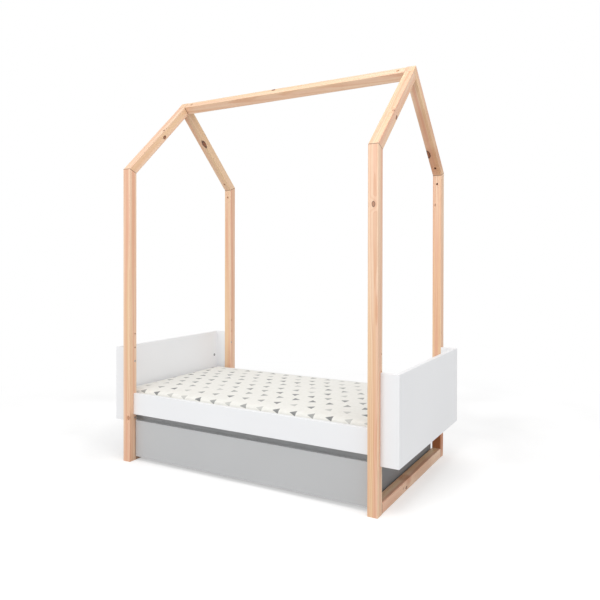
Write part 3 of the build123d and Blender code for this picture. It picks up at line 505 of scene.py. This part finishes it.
# Mattress: a crowned, closed form with drawn-in sides, inflated a little as cloth
def mattress_form():
    """Closed mesh of the mattress as it lies, from rings of points around its plan."""
    half_x = mattress_high.x - side_clearance
    half_y = mattress_high.y - side_clearance
    low = mattress_low.z + slat_gap
    edge = edge_round
    edge_top = mattress_high.z - top_clearance - crown_rise

    def outline(inset):
        """Rounded rectangle whose sides curve in a little between the corners."""
        points = []
        radius = max(plan_corner - inset, 0.004)
        for sx, sy, start in ((1, 1, 0), (-1, 1, 90), (-1, -1, 180), (1, -1, 270)):
            centre = Vector((sx * (half_x - inset - radius), sy * (half_y - inset - radius)))
            for step in range(7):
                angle = math.radians(start + 90 * step / 6)
                points.append(centre + Vector((math.cos(angle), math.sin(angle))) * radius)
            if sx * sy > 0:
                span = 2 * (half_x - inset - radius)
                direction = Vector((-sx, 0))
                pull = Vector((0, -sy))
                first = Vector((centre.x, sy * (half_y - inset)))
                steps = 48
            else:
                span = 2 * (half_y - inset - radius)
                direction = Vector((0, -sy))
                pull = Vector((-sx, 0))
                first = Vector((sx * (half_x - inset), centre.y))
                steps = 24
            for step in range(1, steps):
                share = step / steps
                points.append(first + direction * span * share + pull * draw_in * math.sin(math.pi * share))
        return points

    levels = [(0.045, low), (edge, low), (edge * 0.3, low + edge * 0.3), (0.0, low + edge)]
    levels += [(0.0, low + (edge_top - low) * share) for share in (0.45, 0.62)]
    levels += [
        (edge * (1 - math.cos(math.radians(angle))), edge_top - edge + edge * math.sin(math.radians(angle)))
        for angle in (0, 22.5, 45, 67.5, 90)
    ]
    levels += [(inset, None) for inset in (0.05, 0.10, 0.16, 0.23, 0.30, half_y - 0.012)]
    form = bmesh.new()
    rings = []
    for inset, height in levels:
        ring = []
        for point in outline(inset):
            across = 1 - (point.x / half_x) ** 2
            over = 1 - (point.y / half_y) ** 2
            z = height if height is not None else edge_top + crown_rise * min(1.0, 1.6 * across) * over
            ring.append(form.verts.new((point.x, point.y, z)))
        rings.append(ring)
    for lower, upper in zip(rings, rings[1:]):
        for index in range(len(lower)):
            after = (index + 1) % len(lower)
            form.faces.new((lower[index], lower[after], upper[after], upper[index]))
    form.faces.new(list(reversed(rings[0])))
    form.faces.new(rings[-1])
    mesh = bpy.data.meshes.new("mattress_form")
    form.to_mesh(mesh)
    form.free()
    piece = bpy.data.objects.new("mattress_form", mesh)
    bpy.context.scene.collection.objects.link(piece)
    return piece


def apply_modifiers(piece):
    """Keeps what the modifiers make of the piece's mesh, and drops the modifiers."""
    graph = bpy.context.evaluated_depsgraph_get()
    mesh = bpy.data.meshes.new_from_object(piece.evaluated_get(graph))
    piece.modifiers.clear()
    piece.data = mesh


def inflate(piece):
    """Lets the cover swell and settle as cloth, each point held within the cap of where it began."""
    remesh = piece.modifiers.new("remesh", "REMESH")
    remesh.mode = "VOXEL"
    remesh.voxel_size = cloth_voxel
    apply_modifiers(piece)
    before = [vertex.co.copy() for vertex in piece.data.vertices]
    cloth = piece.modifiers.new("cloth", "CLOTH")
    cloth.settings.quality = 5
    cloth.settings.mass = 0.2
    cloth.settings.tension_stiffness = 12
    cloth.settings.compression_stiffness = 6
    cloth.settings.bending_stiffness = 0.6
    cloth.settings.use_pressure = True
    cloth.settings.uniform_pressure_force = 4
    cloth.settings.effector_weights.gravity = 0
    cloth.collision_settings.use_collision = False
    scene = bpy.context.scene
    for step in range(1, cloth_frames + 1):
        scene.frame_set(step)
    apply_modifiers(piece)
    for vertex, start in zip(piece.data.vertices, before):
        moved = vertex.co - start
        if moved.length > cloth_cap:
            vertex.co = start + moved * (cloth_cap / moved.length)
    scene.frame_set(1)


def settle(piece):
    """Keeps the mattress on the slats and clear of what stands around it."""
    low = mattress_low.z + slat_gap
    for vertex in piece.data.vertices:
        vertex.co.z = max(vertex.co.z, low)
        vertex.co.x = max(min(vertex.co.x, mattress_high.x + 0.001), mattress_low.x - 0.001)
        vertex.co.y = max(min(vertex.co.y, mattress_high.y + 0.002), mattress_low.y - 0.002)


def smooth_shade(piece):
    for polygon in piece.data.polygons:
        polygon.use_smooth = True


def add_flat_map(piece):
    """Stores each point's place on the sheet laid flat: the top as it lies, the sides folded out."""
    mesh = piece.data
    layer = mesh.uv_layers.new(name="flat")
    edge_top = mattress_high.z - top_clearance - crown_rise
    for polygon in mesh.polygons:
        middle = polygon.center
        past_end = abs(middle.x) - mattress_high.x
        past_side = abs(middle.y) - mattress_high.y
        for index in polygon.loop_indices:
            point = mesh.vertices[mesh.loops[index].vertex_index].co
            drop = max(0.0, edge_top - point.z)
            u, v = point.x, point.y
            if past_end > past_side:
                u += math.copysign(drop, point.x)
            else:
                v += math.copysign(drop, point.y)
            layer.data[index].uv = (u, v)


def make_fitted_sheet(mattress):
    """The sheet: the mattress's cover drawn over its top and sides and turned under its edge."""
    mesh = mattress.data.copy()
    mesh.name = "fitted_sheet"
    sheet = bpy.data.objects.new("fitted_sheet", mesh)
    bpy.context.scene.collection.objects.link(sheet)
    cut = bmesh.new()
    cut.from_mesh(mesh)
    floor_line = mattress_low.z + 0.002
    inner_x = mattress_high.x - sheet_turn_under
    inner_y = mattress_high.y - sheet_turn_under
    under = [
        face for face in cut.faces
        if max(vertex.co.z for vertex in face.verts) < floor_line
        and abs(face.calc_center_median().x) < inner_x
        and abs(face.calc_center_median().y) < inner_y
    ]
    bmesh.ops.delete(cut, geom=under, context="FACES")
    cut.to_mesh(mesh)
    cut.free()
    return sheet


def make_mattress():
    mattress = mattress_form()
    mattress.name = "mattress_body"
    inflate(mattress)
    settle(mattress)
    smoothing = mattress.modifiers.new("smooth", "SUBSURF")
    smoothing.levels = smoothing.render_levels = 1
    apply_modifiers(mattress)
    settle(mattress)
    smooth_shade(mattress)
    sheet = make_fitted_sheet(mattress)
    add_flat_map(sheet)
    smooth_shade(sheet)
    # The mattress itself lies one sheet's thickness inside its cover
    inward = [vertex.normal * sheet_thickness for vertex in mattress.data.vertices]
    for vertex, step in zip(mattress.data.vertices, inward):
        vertex.co -= step
    mattress.data.materials.append(ticking())
    sheet.data.materials.append(sheet_cotton())
    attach(mattress, "mattress")
    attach(sheet, "mattress")
    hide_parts("mattress")
    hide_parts("mattress")


def paint_boards_and_fittings():
    """Materials of every CAD node that isn't a pine timber."""
    white = lacquer("white_lacquer", (240, 241, 243), (236, 237, 239), 0.38)
    grey = lacquer("grey_lacquer", (190, 191, 192), (186, 187, 188), 0.40)
    # The drawer box boards are a darker grey than the drawer front: painted shade for the dark space under
    # the bed
    painted_shade_drawer_board = lacquer("painted_shade_drawer_grey", (134, 135, 137), (128, 129, 131), 0.55)
    panel = lacquer("drawer_panel_white", (226, 226, 224), (221, 221, 219), 0.5)
    slat_wood = softwood("softwood_slats", (0, 1, 0), (232, 204, 166), (214, 176, 132))
    beech = softwood("beech_dowels", (1, 0, 0), (214, 176, 134), (196, 152, 108))
    steel = metal("zinc_plated_steel", (196, 197, 198), 0.34)
    zinc = metal("cast_zinc", (178, 179, 180), 0.42)
    brown_zinc = lacquer("brown_coating", (192, 152, 116), (178, 138, 102), 0.5)
    black = plastic("castor_plastic", (62, 63, 65))
    looks = {
        white: ["end_board", "return", "side_rail"],
        # The base bars take this grey, darker than the white frame around them: painted shade in the band
        # under the side rail
        grey: ["drawer_front", "drawer_spacers", "base_bar"],
        painted_shade_drawer_board: ["drawer_box_front", "drawer_box_back", "drawer_side"],
        panel: ["drawer_bottom"],
        slat_wood: ["slats", "drawer_bearers"],
        woven_tape(): ["slat_tapes"],
        beech: ["frame_dowels"],
        steel: ["tie_bolts", "cross_nuts", "cam_bolts", "panel_bolts", "bar_screws", "drawer_front_screws",
                "drawer_box_screws", "castor_screws", "castor_housings", "castor_axles"],
        zinc: ["cams", "panel_inserts"],
        brown_zinc: ["ridge_cams"],
        black: ["wheel"],
    }
    for material, starts in looks.items():
        for start in starts:
            for name in nodes:
                if name == start or name.startswith(start + "_"):
                    paint(name, material)


def add_light(name, place, target, width, height, power):
    lamp = bpy.data.lights.new(name, "AREA")
    lamp.shape = "RECTANGLE"
    lamp.size = width
    lamp.size_y = height
    lamp.energy = power
    light = bpy.data.objects.new(name, lamp)
    light.location = place
    light.rotation_euler = (Vector(target) - Vector(place)).to_track_quat("-Z", "Y").to_euler()
    bpy.context.scene.collection.objects.link(light)


def add_world():
    """Even white surroundings. Seen directly or mirrored they are plain white, and they light softly."""
    graph = Graph("studio", world=True)
    soft = graph.node("ShaderNodeBackground", {"Strength": world_strength})
    white = graph.node("ShaderNodeBackground", {"Color": (1, 1, 1, 1), "Strength": 1.0})
    both = graph.node("ShaderNodeMixShader", {0: graph.seen(), 1: soft.outputs[0], 2: white.outputs[0]})
    graph.node("ShaderNodeOutputWorld", {"Surface": both.outputs[0]})
    bpy.context.scene.world = graph.owner


def add_floor():
    """Pale floor that keeps the bed's shadow and otherwise goes over into the white background."""
    mesh = bpy.data.meshes.new("floor")
    corners = [(x * floor_reach, y * floor_reach, 0) for x, y in ((-1, -1), (1, -1), (1, 1), (-1, 1))]
    mesh.from_pydata(corners, [], [(0, 1, 2, 3)])
    floor = bpy.data.objects.new("floor", mesh)
    floor.location.z = -floor_drop
    bpy.context.scene.collection.objects.link(floor)
    graph = Graph("floor_white")
    cloud = graph.noise(graph.place(), 1.5, 2.0)
    colour = graph.mix(graph.spread(cloud, 0.3, 0.7, 0.0, 0.5), srgb(*floor_grey), srgb(*floor_pale))
    diffuse = graph.node("ShaderNodeBsdfDiffuse", {"Color": colour})
    seen = graph.seen()
    glow = graph.node("ShaderNodeEmission", {"Strength": graph.math("MULTIPLY", seen, floor_lift)})
    near = graph.node("ShaderNodeAddShader", {0: diffuse.outputs[0], 1: glow.outputs[0]})
    # Away from the bed the floor goes over into the white behind it
    distance = graph.vector("LENGTH", graph.place())
    far = graph.math("MULTIPLY", graph.spread(distance, floor_fade[0], floor_fade[1], smooth=True), seen)
    white = graph.node("ShaderNodeEmission", {"Strength": 1.0})
    both = graph.node("ShaderNodeMixShader", {0: far, 1: near.outputs[0], 2: white.outputs[0]})
    graph.node("ShaderNodeOutputMaterial", {"Surface": both.outputs[0]})
    mesh.materials.append(graph.owner)


def add_camera():
    forward = Vector((-math.sin(camera_yaw) * math.cos(camera_pitch),
                      math.cos(camera_yaw) * math.cos(camera_pitch), math.sin(camera_pitch)))
    level = Vector((math.cos(camera_yaw), math.sin(camera_yaw), 0))
    upright = level.cross(forward)
    right = level * math.cos(camera_roll) + upright * math.sin(camera_roll)
    up = upright * math.cos(camera_roll) - level * math.sin(camera_roll)
    lens = bpy.data.cameras.new("photo_camera")
    lens.sensor_width = sensor_width
    lens.lens = focal_px * sensor_width / image_size
    lens.shift_x = (image_size / 2 - axis_px[0]) / image_size
    lens.shift_y = (axis_px[1] - image_size / 2) / image_size
    camera = bpy.data.objects.new("photo_camera", lens)
    turn = Matrix((right, up, -forward)).transposed().to_4x4()
    camera.matrix_world = Matrix.Translation(camera_place) @ turn
    bpy.context.scene.collection.objects.link(camera)
    bpy.context.scene.camera = camera


bpy.context.scene.view_settings.view_transform = "Standard"
add_camera()
add_world()
add_floor()
for lamp in lamps:
    add_light(*lamp)
paint_timbers()
paint_boards_and_fittings()
make_mattress()

bpy.context.view_layer.update()
